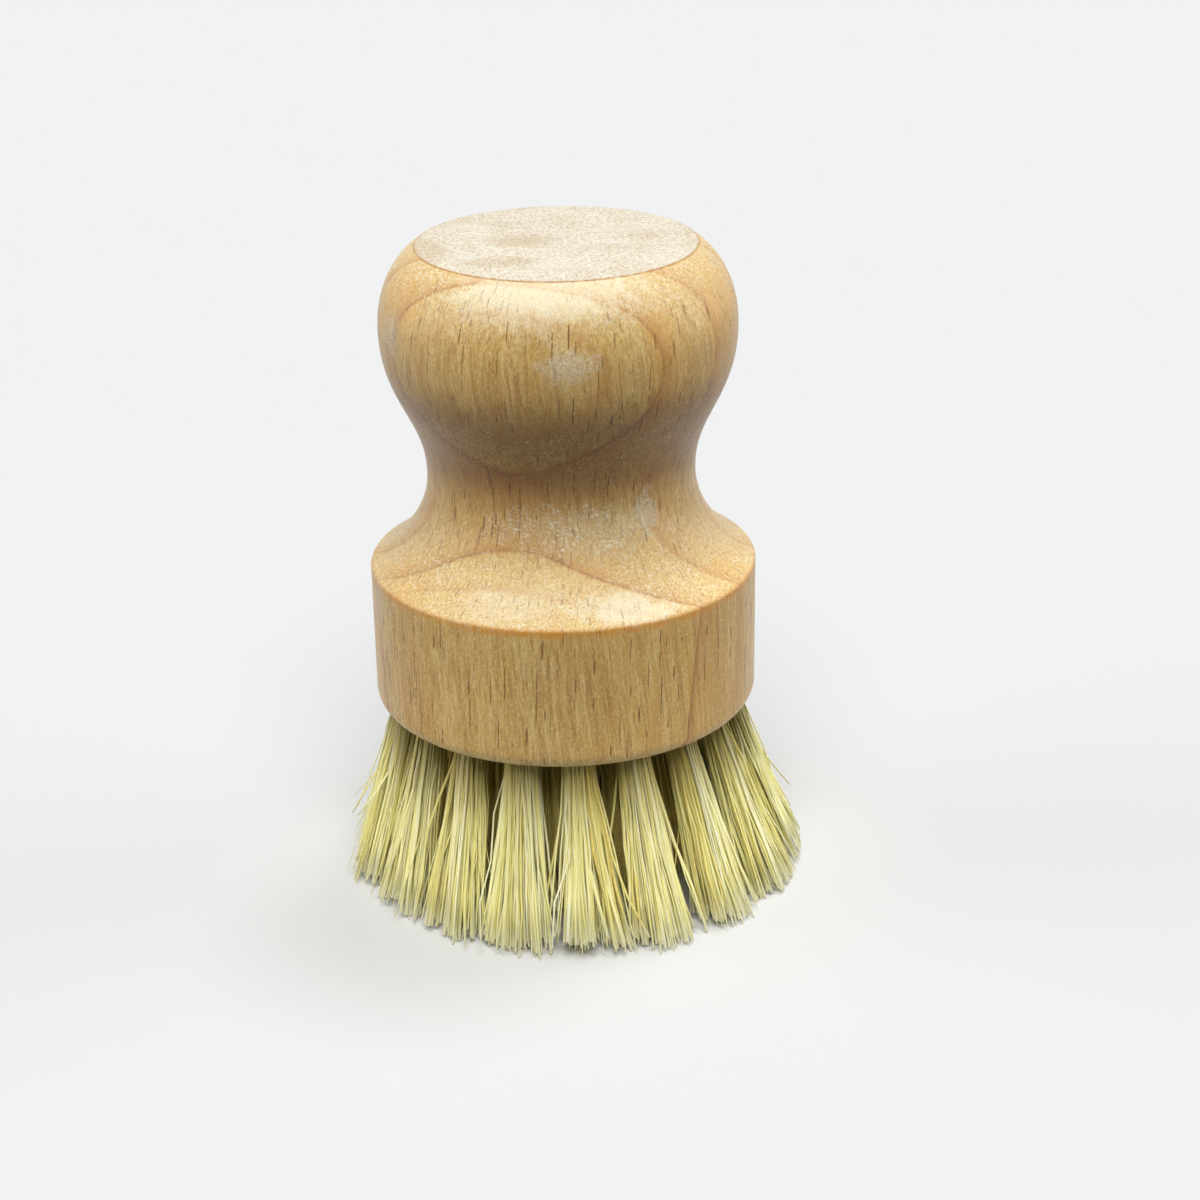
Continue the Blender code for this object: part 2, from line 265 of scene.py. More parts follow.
# Colours of the wood's other layers.
CROSS_GRAIN_AND_HIGHLIGHT_COLOUR = (0.965, 0.785, 0.395, 1)
WARM_COLOUR = (0.800, 0.440, 0.090, 1)
PAINTED_SHEEN_COLOUR = (0.975, 0.925, 0.720, 1)
HOLLOW_SHADE_COLOUR = (0.430, 0.225, 0.062, 1)
RAISED_LIGHT_COLOUR = (0.975, 0.820, 0.460, 1)
RING_COLOUR = (0.620, 0.290, 0.070, 1)
RING_LINE_COLOUR = (0.330, 0.130, 0.035, 1)
FINE_VESSEL_COLOUR = (0.300, 0.150, 0.045, 1)
VESSEL_COLOUR = (0.230, 0.072, 0.008, 1)
NECK_SHADE_COLOUR = (0.530, 0.435, 0.340, 1)
PAINTED_GLINT_COLOUR = (0.985, 0.920, 0.730, 1)
RIM_SHADE_COLOUR = (0.720, 0.320, 0.050, 1)
FLAT_EDGE_COLOUR = (0.500, 0.240, 0.065, 1)
SCUFF_COLOUR = (0.820, 0.770, 0.640, 1)
SANDED_LOW_COLOUR = (0.610, 0.510, 0.350, 1)
SANDED_HIGH_COLOUR = (0.830, 0.790, 0.695, 1)
SANDED_SHADE_COLOUR = (0.640, 0.540, 0.380, 1)
SMUDGE_COLOUR = (0.500, 0.370, 0.190, 1)
SPECK_COLOUR = (0.260, 0.150, 0.070, 1)
FLAT_RING_COLOUR = (0.560, 0.380, 0.200, 1)

# Spots, in millimetres: (place, reach along X, Y and Z, strength). On the wood they are worn grey
# spots, bands of torn grain, smudges on the flat, painted highlights and warmer wood.
SCUFFS = (
    ((-0.2, -22.5, 75.6), (4.8, 4.8, 2.9), 0.85),
    ((-20.9, -8.4, 76.2), (2.8, 3.0, 3.8), 0.9),
    ((9.6, -14.4, 54.2), (2.0, 2.2, 4.0), 1.0),
    ((-24.2, -6.2, 40.2), (3.0, 3.4, 4.8), 0.75),
)
TORN_GRAIN = (
    ((1.0, -16.6, 53.0), (18.0, 9.0, 4.4), 1.0),
    ((-10.0, -20.8, 44.2), (16.0, 6.0, 2.4), 1.0),
    ((9.0, -21.4, 44.2), (13.0, 5.0, 2.0), 0.8),
    ((-6.0, -17.0, 83.8), (16.0, 8.0, 3.0), 0.6),
)
SMUDGES = (
    ((-3.8, 1.3, 84.8), (6.5, 4.2, 9.0), 0.8),
    ((-7.4, -8.3, 84.8), (6.0, 3.2, 9.0), 0.7),
    ((10.6, 1.7, 84.8), (4.2, 3.0, 9.0), 0.55),
    ((-17.0, -1.0, 84.8), (4.5, 10.0, 9.0), 0.8),
)
# Painted highlights: pale patches on the crown, the flare and the waist, where the lamps'
# highlights fall.
PAINTED_SHEEN_SPOTS = (
    ((-3.5, -18.0, 83.8), (18.0, 7.5, 6.4), 0.66),
    ((7.0, -22.2, 44.4), (9.0, 3.6, 3.0), 0.68),
    ((-8.0, -20.5, 45.0), (12.0, 5.0, 2.6), 0.30),
    ((1.0, -17.0, 52.6), (17.0, 8.0, 4.0), 0.48),
)
WARM_SPOTS = (
    ((-19.0, -9.0, 80.5), (5.0, 9.0, 5.0), 0.75),
    ((19.0, -9.0, 79.5), (5.5, 9.0, 6.0), 0.75),
    ((-21.5, -11.0, 44.5), (6.0, 8.0, 3.0), 0.55),
    ((21.5, -11.0, 45.0), (6.0, 8.0, 3.0), 0.60),
    ((9.0, -12.5, 60.5), (8.0, 8.0, 4.0), 0.40),
    ((21.0, -8.0, 71.0), (6.0, 10.0, 8.0), 0.60),
    ((11.0, -19.5, 76.5), (3.0, 6.0, 7.0), 0.45),
)
REDDENED_BRISTLES = (((28.8, -5.0, 10.0), (1.0, 1.0, 3.4), 0.75),)
SPOT_CELL = (1.3, 1.3, 1.3)
SPOT_UNEVENNESS = 1.5
SPOT_CORE = 0.35

# Painted shade on the neck under the knob, in millimetres: its middle height, and the fade over the
# distance from that.
NECK_LEVEL = 63.5
NECK_FADE = (9.8, 3.0, 0, 0.95)

# Dark vessels, long ones and short dashes. In millimetres: the mean gap across, in depth and along.
# Then the random share that shows none, and the width of the widest as a share of the gap. All lean
# to the right as they go up, and the gaps across are true at the radius given.
VESSELS = (
    ((0.32, 2.0, 13.0), 0.34, 0.33),
    ((0.52, 2.0, 4.6), 0.50, 0.30),
)
VESSEL_LEAN = 0.035
VESSEL_RADIUS = 22.0
VESSEL_NARROWEST = 0.03
VESSEL_EDGE = (-0.02, 0.08)
VESSEL_DARKNESS_FADE = (0, 1, 0.50, 0.95)
BREAK_LENGTH = 1.2
BREAK_FADE = (0.34, 0.46, 0.45, 1.0)

# Plant fibre: its colours by tone, with a shift of the tone by place, then a painted shadow of the
# block near the wood, paler tips, partly painted light, and reddened spots over them.
FIBRE_COLOURS = (
    (0.00, (0.840, 0.630, 0.165, 1)),
    (0.15, (0.910, 0.790, 0.260, 1)),
    (0.40, (0.930, 0.870, 0.335, 1)),
    (0.65, (0.955, 0.915, 0.460, 1)),
    (1.00, (0.985, 0.965, 0.680, 1)),
)
FIBRE_MOTTLE_CELL = (0.14, 0.14, 3.5)
FIBRE_TONE_FADE = (0.3, 0.7, -0.10, 0.14)
FIBRE_ROUGHNESS_FADE = (0.3, 0.7, 0.40, 0.58)
FIBRE_ROOT_SHADE_FADE = (0.50, 0.02, 0, 1.0)
FIBRE_ROOT_SHADE_COLOUR = (0.500, 0.440, 0.300, 1)
FIBRE_TIP_FADE = (0.86, 1.0, 0, 0.55)
FIBRE_TIP_COLOUR = (0.990, 0.975, 0.730, 1)
REDDENED_COLOUR = (0.520, 0.290, 0.130, 1)
FIBRE_RIB_CELL = (0.06, 0.06, 2.0)
FIBRE_RIB_STRENGTH = 0.25
FIBRE_RIB_DEPTH = 0.00006
FIBRE_SPECULAR = 0.30

# Staple wire: dull and bright zinc in patches, and drawing marks along Z.
ZINC_CELL = (0.5, 0.5, 0.5)
ZINC_FADE = (0.35, 0.65, 0, 1)
ZINC_DULL_COLOUR = (0.42, 0.43, 0.44, 1)
ZINC_BRIGHT_COLOUR = (0.66, 0.67, 0.68, 1)
ZINC_ROUGHNESS_FADE = (0.3, 0.7, 0.30, 0.50)
WIRE_MARK_CELL = (0.05, 0.05, 1.5)
WIRE_MARK_STRENGTH = 0.3
WIRE_MARK_DEPTH = 0.00003

# Studio: the floor's fade is of the light that it returns, over the distance from the brush in
# millimetres. The world has one strength to light the brush and one for the eye.
FLOOR_RADIUS = 4.0
FLOOR_FACETS = 96
FLOOR_COLOUR = (0.66, 0.67, 0.68, 1)
FLOOR_RETURN_FADE = (56, 42, 0.05, 0.80)
FLOOR_ROUGHNESS = 0.9
FLOOR_SPECULAR = 0.1
WORLD_COLOUR = (0.98, 0.99, 1.0, 1)
WORLD_LIGHT = 0.045
WORLD_SEEN = 0.80

# Broad lamps far off: (name, azimuth from the front to the right, elevation, level, spread,
# colour). A level of 1 shows a surface that faces the lamp in its own colour.
LAMPS = (
    ("overhead_behind", 138, 71, 0.23, 15, (1, 1, 1)),
    ("overhead_before", -6, 80, 0.27, 18, (1, 1, 1)),
    ("front", -2, 61, 0.70, 40, (1, 0.99, 0.975)),
    ("left", -94, 11, 0.43, 50, (1, 0.98, 0.95)),
    ("right", 94, 11, 0.43, 50, (1, 0.98, 0.95)),
)

# Camera: fitted to the photographed outlines. Lengths in metres from the middle of the tuft face.
CAMERA_DISTANCE = 0.3336
CAMERA_ELEVATION = math.radians(25.26)
CAMERA_PITCH = math.radians(23.30)
CAMERA_YAW = math.radians(0.89)
CAMERA_ROLL = math.radians(-0.92)
CAMERA_TURN = math.radians(-3.45)
CAMERA_LENS = 75.0
CAMERA_SENSOR = 36.0
CAMERA_NEAREST = 0.01

MILLIMETRES = 1000


class Graph:
    """Builds the nodes of a material or a world.

    Any value given to a node may be a number, a tuple or a socket.
    """

    def __init__(self, owner):
        owner.use_nodes = True
        self.owner = owner
        self.tree = owner.node_tree

    def feed(self, socket, value):
        if isinstance(value, bpy.types.NodeSocket):
            self.tree.links.new(value, socket)
        else:
            socket.default_value = value

    def finish(self, shader, **values):
        """Feeds the shader's inputs, named with _ for a space, and returns the graph's owner."""
        inputs = self.tree.nodes[shader].inputs
        for name, value in values.items():
            self.feed(inputs[name.replace("_", " ")], value)
        return self.owner

    def add(self, kind, values, **settings):
        made = self.tree.nodes.new(kind)
        for name, setting in settings.items():
            setattr(made, name, setting)
        for place, value in values.items():
            self.feed(made.inputs[place], value)
        return made

    def node(self, kind, values, output=0, **settings):
        return self.add(kind, values, **settings).outputs[output]

    def math(self, operation, first, *others, clamp=False):
        """A sum, product or the like of any number of values, from the left."""
        for other in others or (0.0,):
            values = {0: first, 1: other}
            first = self.node("ShaderNodeMath", values, operation=operation, use_clamp=clamp)
        return first

    def vector(self, operation, first, second=(0, 0, 0), scale=1.0):
        values = {0: first, 3: scale} if operation == "SCALE" else {0: first, 1: second}
        output = "Value" if operation in ("LENGTH", "DOT_PRODUCT") else "Vector"
        return self.node("ShaderNodeVectorMath", values, output, operation=operation)

    def place(self):
        """The surface's own place, in millimetres."""
        metres = self.node("ShaderNodeTexCoord", {}, "Object")
        return self.vector("SCALE", metres, scale=MILLIMETRES)

    def along(self, axis, place):
        """How far a place lies along an axis."""
        return self.vector("DOT_PRODUCT", place, axis)

    def flat(self, place):
        """A place brought down to height 0."""
        return self.vector("MULTIPLY", place, (1, 1, 0))

    def stretched(self, place, cell):
        """The place in units of a cell, given as its three sides."""
        return self.vector("DIVIDE", place, cell)

    def noise(self, place, detail=2.0, roughness=0.5, output=0):
        values = {"Vector": place, "Scale": 1.0, "Detail": detail, "Roughness": roughness}
        return self.node("ShaderNodeTexNoise", values, output)

    def voronoi(self, place, output="Distance"):
        return self.node("ShaderNodeTexVoronoi", {"Vector": place, "Scale": 1.0}, output)

    def fade(self, value, low, high, first=0.0, last=1.0):
        """Goes smoothly from first to last while the value goes from low to high."""
        values = {"From Min": low, "From Max": high, "To Min": first, "To Max": last}
        values["Value"] = value
        return self.node("ShaderNodeMapRange", values, interpolation_type="SMOOTHSTEP")

    def mix(self, factor, first, second, blend="MIX"):
        values = {0: factor, 6: first, 7: second}
        return self.node("ShaderNodeMix", values, 2, data_type="RGBA", blend_type=blend)

    def ramp(self, value, stops):
        """A colour ramp; each stop is (place, colour)."""
        made = self.add("ShaderNodeValToRGB", {0: value})
        points = made.color_ramp.elements
        while len(points) < len(stops):
            points.new(1.0)
        for point, (at, colour) in zip(points, stops):
            point.position = at
            point.color = colour
        return made.outputs[0]

    def bump(self, height, strength, distance):
        values = {"Strength": strength, "Distance": distance, "Height": height}
        return self.node("ShaderNodeBump", values)

    def spots(self, place, listed):
        """The strength of the listed spots where they are, down to 0 at their uneven edges."""
        unevenness = self.noise(self.stretched(place, SPOT_CELL), detail=3, roughness=0.7)
        unevenness = self.math("SUBTRACT", unevenness, 0.5)
        unevenness = self.math("MULTIPLY", unevenness, SPOT_UNEVENNESS)
        total = 0.0
        for centre, reach, strength in listed:
            away = self.stretched(self.vector("SUBTRACT", place, centre), reach)
            away = self.math("ADD", self.vector("LENGTH", away), unevenness)
            total = self.math("MAXIMUM", total, self.fade(away, 1.0, SPOT_CORE, 0.0, strength))
        return total

    def seen_or_mirrored(self):
        """1 for what is seen, straight or in a mirror or glass, 0 for what lights a surface."""
        rays = self.add("ShaderNodeLightPath", {}).outputs
        kinds = ("Is Camera Ray", "Is Glossy Ray", "Is Transmission Ray")
        return self.math("MAXIMUM", *(rays[kind] for kind in kinds))


def grey(value):
    return (value, value, value, 1)


def ring_stops():
    """The year rings as stops of a ramp: each fades in and ends at a sharp line."""
    stops = [(0.0, grey(0))]
    for radius, fade, depth in YEAR_RINGS:
        stops.append(((radius - fade) / RING_SPAN, grey(0)))
        stops.append((radius / RING_SPAN, grey(depth)))
        stops.append(((radius + RING_EDGE) / RING_SPAN, grey(0)))
    return stops


class Wood(Graph):
    """Oiled pale hardwood: arcs of year rings, streaks, dark vessel lines and raised grain, with
    painted shade, painted highlights and painted glinting flecks in its colour.
    """

    def __init__(self):
        super().__init__(bpy.data.materials.new("turned_hardwood"))
        self.here = self.place()
        self.height = self.along((0, 0, 1), self.here)
        normal = self.node("ShaderNodeNewGeometry", {}, "Normal")
        facing_up = self.math("ABSOLUTE", self.along((0, 0, 1), normal))
        self.cross_grain = self.fade(facing_up, *CROSS_GRAIN_FADE)
        self.end_grain = self.fade(facing_up, *END_GRAIN_FADE)
        drift = self.noise(self.stretched(self.here, WANDER_CELL), output=1)
        drift = self.vector("SUBTRACT", drift, (0.5, 0.5, 0.5))
        self.wandering = self.vector("ADD", self.here, self.vector("MULTIPLY", drift, WANDER_REACH))
        lean = tuple(math.radians(angle) for angle in GRAIN_LEAN)
        values = {"Vector": self.wandering, "Rotation": lean}
        self.grain = self.node("ShaderNodeVectorRotate", values, rotation_type="EULER_XYZ")
        self.pattern = {}
        for place, listed in ((self.grain, GRAIN_PATTERNS), (self.here, SURFACE_PATTERNS)):
            for name, (cell, detail, roughness) in listed.items():
                self.pattern[name] = self.noise(self.stretched(place, cell), detail, roughness)
        self.patchy = self.fade(self.pattern["patches"], *PATCH_FADE)
        self.uneven = self.fade(self.pattern["mottle"], *UNEVEN_FADE)
        # A painted highlight on the cross grain, where the lamps' highlights fall.
        shown = self.fade(self.cross_grain, *PAINTED_SHEEN_ON_CROSS_GRAIN)
        self.painted_sheen = self.math("MULTIPLY", self.spots(self.here, PAINTED_SHEEN_SPOTS), shown)

    def rings(self):
        """How dark the year rings are."""
        from_pith = self.vector("SUBTRACT", self.flat(self.wandering), (*PITH, 0))
        below_rim = self.math("SUBTRACT", self.height, RING_LEAN_TOP)
        below_rim = self.math("MINIMUM", below_rim, 0)
        leaning = self.math("MULTIPLY", below_rim, RING_LEAN)
        radius = self.math("ADD", self.vector("LENGTH", from_pith), leaning)
        rings = self.ramp(self.math("DIVIDE", radius, RING_SPAN), ring_stops())
        rings = self.math("POWER", rings, RING_POWER)
        return self.math("MULTIPLY", rings, self.fade(self.painted_sheen, *RINGS_UNDER_PAINTED_SHEEN))

    def grain_colour(self):
        """The wood between its rings and vessels."""
        colour = GRAIN_BASE
        for name, fade, layer in GRAIN_LAYERS:
            colour = self.mix(self.fade(self.pattern[name], *fade), colour, layer)
        # Paler cross grain: partly the wood's own colour there, partly a painted highlight.
        crossing = self.math("MULTIPLY", self.cross_grain, CROSS_GRAIN_AND_HIGHLIGHT_SHARE)
        colour = self.mix(crossing, colour, CROSS_GRAIN_AND_HIGHLIGHT_COLOUR)
        warmth = self.math("MULTIPLY", self.spots(self.here, WARM_SPOTS), WARM_SHARE)
        colour = self.mix(warmth, colour, WARM_COLOUR)
        # Lays the painted highlight over the grain.
        colour = self.mix(self.painted_sheen, colour, PAINTED_SHEEN_COLOUR)
        share = self.fade(self.cross_grain, *RELIEF_ON_CROSS_GRAIN)
        under_sheen = self.fade(self.painted_sheen, *HOLLOWS_UNDER_PAINTED_SHEEN)
        # Painted shade in the hollows and painted light on the raised grain of a fine relief, laid
        # in as colour.
        hollows = self.fade(self.pattern["relief"], *HOLLOW_FADE)
        raised = self.fade(self.pattern["relief"], *RAISED_FADE)
        hollows = self.math("MULTIPLY", hollows, share, under_sheen)
        colour = self.mix(hollows, colour, HOLLOW_SHADE_COLOUR)
        return self.mix(self.math("MULTIPLY", raised, share), colour, RAISED_LIGHT_COLOUR)

    def ringed(self, colour, rings):
        colour = self.mix(self.math("MULTIPLY", rings, RING_SHARE), colour, RING_COLOUR)
        lines = self.math("POWER", rings, RING_LINE_POWER)
        lines = self.math("MULTIPLY", lines, self.fade(self.pattern["clouds"], *RING_LINE_FADE))
        return self.mix(lines, colour, RING_LINE_COLOUR)

    def vessel_lines(self, gaps, bare_share, widest):
        """Where vessels are open and how dark: slim ellipsoids round the axis, with breaks."""
        across, depth, _ = gaps
        x, y, height = self.add("ShaderNodeSeparateXYZ", {0: self.here}).outputs
        angle = self.math("ARCTAN2", x, self.math("MULTIPLY", y, -1))
        arc_length = self.math("MULTIPLY", angle, VESSEL_RADIUS)
        leaning = self.math("MULTIPLY", height, VESSEL_LEAN)
        arc_length = self.math("SUBTRACT", arc_length, leaning)
        radius = self.vector("LENGTH", self.flat(self.here))
        unrolled = self.node("ShaderNodeCombineXYZ", {0: arc_length, 1: radius, 2: height})
        cell = self.stretched(unrolled, gaps)
        random = self.voronoi(cell, output="Color")
        own_width = self.along((1, 0, 0), random)
        width = self.fade(own_width, bare_share, 1.0, VESSEL_NARROWEST, widest)
        breaks = self.noise(self.stretched(unrolled, (across, depth, BREAK_LENGTH)), detail=1)
        width = self.math("MULTIPLY", width, self.fade(breaks, *BREAK_FADE))
        inside = self.fade(self.math("SUBTRACT", width, self.voronoi(cell)), *VESSEL_EDGE)
        darkness = self.fade(self.along((0, 1, 0), random), *VESSEL_DARKNESS_FADE)
        return self.math("MULTIPLY", inside, darkness)

    def vessels(self):
        total = 0.0
        for listed in VESSELS:
            total = self.math("MAXIMUM", total, self.vessel_lines(*listed))
        return self.math("MULTIPLY", total, self.fade(self.cross_grain, *VESSELS_ON_CROSS_GRAIN))

    def fine_vessels(self):
        away = self.voronoi(self.stretched(self.grain, FINE_VESSEL_CELL))
        return self.fade(away, *FINE_VESSEL_FADE)

    def painted_neck_shade(self, colour):
        # Darkens the neck's colour: painted shade under the knob.
        away = self.math("ABSOLUTE", self.math("SUBTRACT", self.height, NECK_LEVEL))
        return self.mix(self.fade(away, *NECK_FADE), colour, NECK_SHADE_COLOUR, blend="MULTIPLY")

    def along_edge(self, radius, level, reach):
        """1 along a turned edge, whose radius and level are in metres, down to 0 at the reach."""
        flat = self.vector("LENGTH", self.flat(self.here))
        out = self.math("SUBTRACT", flat, radius * MILLIMETRES)
        up = self.math("SUBTRACT", self.height, level * MILLIMETRES)
        squares = self.math("ADD", self.math("MULTIPLY", out, out), self.math("MULTIPLY", up, up))
        return self.fade(self.math("SQRT", squares), reach, reach * EDGE_CORE_SHARE)

    def painted_glints(self, rim, scuffs):
        """Pale torn fibre ends, painted as glinting flecks: painted highlights where they would
        catch the light.
        """
        torn_band = self.spots(self.here, TORN_GRAIN)
        crossing = self.math("MULTIPLY", self.cross_grain, GLINTS_ON_CROSS_GRAIN)
        share = self.math(
            "MAXIMUM",
            self.math("ADD", crossing, GLINTS_EVERYWHERE),
            torn_band,
            self.math("MULTIPLY", scuffs, GLINTS_ON_SCUFFS),
            self.math("MULTIPLY", rim, self.cross_grain),
            self.painted_sheen,
        )
        extra = self.math("MULTIPLY", torn_band, EXTRA_FLECKS_WHERE_TORN)
        flecks = self.fade(self.math("ADD", self.pattern["flecks"], extra), *GLINT_FADE)
        return self.math("MULTIPLY", share, self.patchy, flecks)

    def flat_colour(self, rings):
        """The sanded flat: pale end grain with smudges, dark specks and faint rings."""
        sanded, soft = self.pattern["sanded"], self.pattern["soft"]
        colour = self.mix(self.fade(sanded, *SANDED_FADE), SANDED_LOW_COLOUR, SANDED_HIGH_COLOUR)
        colour = self.mix(self.fade(soft, *SANDED_SHADE_FADE), colour, SANDED_SHADE_COLOUR)
        marked = self.fade(sanded, *SMUDGE_FADE)
        smudges = self.math("MULTIPLY", self.spots(self.here, SMUDGES), marked, SMUDGE_SHARE)
        colour = self.mix(smudges, colour, SMUDGE_COLOUR)
        faint_rings = self.math("MULTIPLY", rings, FLAT_RING_SHARE)
        colour = self.mix(faint_rings, colour, FLAT_RING_COLOUR)
        specks = self.fade(self.voronoi(self.stretched(self.here, SPECK_CELL)), *SPECK_FADE)
        specks = self.math("MULTIPLY", specks, self.fade(soft, *SPECKS_BY_PLACE))
        return self.mix(specks, colour, SPECK_COLOUR)

    def edged(self, colour, rim, painted_glints):
        """Adds a line of painted shade along the rim's rounding, and a darker line round the flat.
        """
        unlit = self.math("SUBTRACT", 1.0, painted_glints)
        # Painted shade along the rim's rounding, broken where it glints.
        painted_rim_shade = self.math("MULTIPLY", rim, self.patchy, self.uneven, unlit)
        colour = self.mix(painted_rim_shade, colour, RIM_SHADE_COLOUR)
        edge = self.along_edge(FLAT_RADIUS, FLAT_LEVEL, FLAT_EDGE_REACH)
        edge_line = self.math("MULTIPLY", edge, FLAT_EDGE_SHARE, self.uneven)
        return self.mix(edge_line, colour, FLAT_EDGE_COLOUR)

    def relief(self, painted_glints, vessels):
        crossing = self.math("MULTIPLY", self.cross_grain, TORN_RELIEF_ON_CROSS_GRAIN)
        torn = self.math("MULTIPLY", self.pattern["torn"], self.math("ADD", crossing, TORN_RELIEF))
        fibres = self.math("MULTIPLY", self.pattern["fibres"], FIBRE_RELIEF)
        height = self.math("ADD", torn, fibres, self.math("MULTIPLY", painted_glints, GLINT_RELIEF))
        height = self.math("SUBTRACT", height, self.math("MULTIPLY", vessels, VESSEL_RELIEF))
        return self.bump(height, RELIEF_STRENGTH, RELIEF_DEPTH)

    def roughness(self, scuffed):
        return self.math(
            "ADD",
            self.fade(self.pattern["torn"], *WOOD_ROUGHNESS_FADE),
            self.math("MULTIPLY", scuffed, SCUFF_ROUGHNESS),
            self.math("MULTIPLY", self.end_grain, END_GRAIN_ROUGHNESS),
        )

    def material(self):
        rings = self.rings()
        vessels = self.vessels()
        rim = self.along_edge(BLOCK_RADIUS, RIM_LEVEL - RIM_ROUNDING, RIM_REACH)
        scuffs = self.spots(self.here, SCUFFS)
        painted_glints = self.painted_glints(rim, scuffs)
        colour = self.ringed(self.grain_colour(), rings)
        colour = self.mix(self.fine_vessels(), colour, FINE_VESSEL_COLOUR)
        colour = self.mix(vessels, colour, VESSEL_COLOUR)
        colour = self.painted_neck_shade(colour)
        # Painted glinting flecks, as highlights, over the wood.
        colour = self.mix(painted_glints, colour, PAINTED_GLINT_COLOUR)
        colour = self.mix(self.end_grain, colour, self.flat_colour(rings))
        colour = self.edged(colour, rim, painted_glints)
        scuffed = self.math("MULTIPLY", scuffs, self.fade(self.pattern["torn"], *SCUFF_FADE))
        colour = self.mix(self.math("MULTIPLY", scuffed, SCUFF_SHARE), colour, SCUFF_COLOUR)
        return self.finish(
            "Principled BSDF",
            Base_Color=colour,
            Roughness=self.roughness(scuffed),
            Specular_IOR_Level=WOOD_SPECULAR,
            Normal=self.relief(painted_glints, vessels),
        )


def fibre_material():
    """Bleached plant fibre, from golden straw to cream. Each fibre carries its own tone."""
    g = Graph(bpy.data.materials.new("plant_fibre"))
    place = g.place()
    tone = g.node("ShaderNodeAttribute", {}, "Fac", attribute_name="tone")
    free = g.node("ShaderNodeAttribute", {}, "Fac", attribute_name="free")
    mottle = g.noise(g.stretched(place, FIBRE_MOTTLE_CELL), detail=2)
    tone = g.math("ADD", tone, g.fade(mottle, *FIBRE_TONE_FADE), clamp=True)
    colour = g.ramp(tone, FIBRE_COLOURS)
    # Painted shadow of the block over the bristles near the wood.
    root_shade = g.fade(free, *FIBRE_ROOT_SHADE_FADE)
    colour = g.mix(root_shade, colour, FIBRE_ROOT_SHADE_COLOUR, blend="MULTIPLY")
    # Paler tips: partly the fibres' own paler ends, partly painted light that brightens the shaded,
    # fanned-out tips.
    colour = g.mix(g.fade(free, *FIBRE_TIP_FADE), colour, FIBRE_TIP_COLOUR)
    colour = g.mix(g.spots(place, REDDENED_BRISTLES), colour, REDDENED_COLOUR)
    ribs = g.noise(g.stretched(place, FIBRE_RIB_CELL), detail=1)
    return g.finish(
        "Principled BSDF",
        Base_Color=colour,
        Roughness=g.fade(mottle, *FIBRE_ROUGHNESS_FADE),
        Specular_IOR_Level=FIBRE_SPECULAR,
        Normal=g.bump(ribs, FIBRE_RIB_STRENGTH, FIBRE_RIB_DEPTH),
    )


def wire_material():
    """Galvanised staple wire: bright, with dull zinc patches and drawing marks."""
    g = Graph(bpy.data.materials.new("galvanised_wire"))
    place = g.place()
    patches = g.noise(g.stretched(place, ZINC_CELL), detail=3)
    marks = g.noise(g.stretched(place, WIRE_MARK_CELL), detail=1)
    return g.finish(
        "Principled BSDF",
        Base_Color=g.mix(g.fade(patches, *ZINC_FADE), ZINC_DULL_COLOUR, ZINC_BRIGHT_COLOUR),
        Metallic=1.0,
        Roughness=g.fade(patches, *ZINC_ROUGHNESS_FADE),
        Normal=g.bump(marks, WIRE_MARK_STRENGTH, WIRE_MARK_DEPTH),
    )


def arc(centre, radii, start, end, steps):
    """Points of an elliptical arc, from angle start to angle end, measured from the radius axis."""
    angles = [start + (end - start) * step / steps for step in range(steps + 1)]
    return [
        (centre[0] + radii[0] * math.cos(angle), centre[1] + radii[1] * math.sin(angle))
        for angle in angles
    ]


def bezier(start, start_handle, end_handle, end, steps):
    knots = [Vector((*point, 0)) for point in (start, start_handle, end_handle, end)]
    return [tuple(point.xy) for point in interpolate_bezier(*knots, steps + 1)]


def straight(start, end, steps):
    return [
        tuple(a + (b - a) * step / steps for a, b in zip(start, end)) for step in range(steps + 1)
    ]


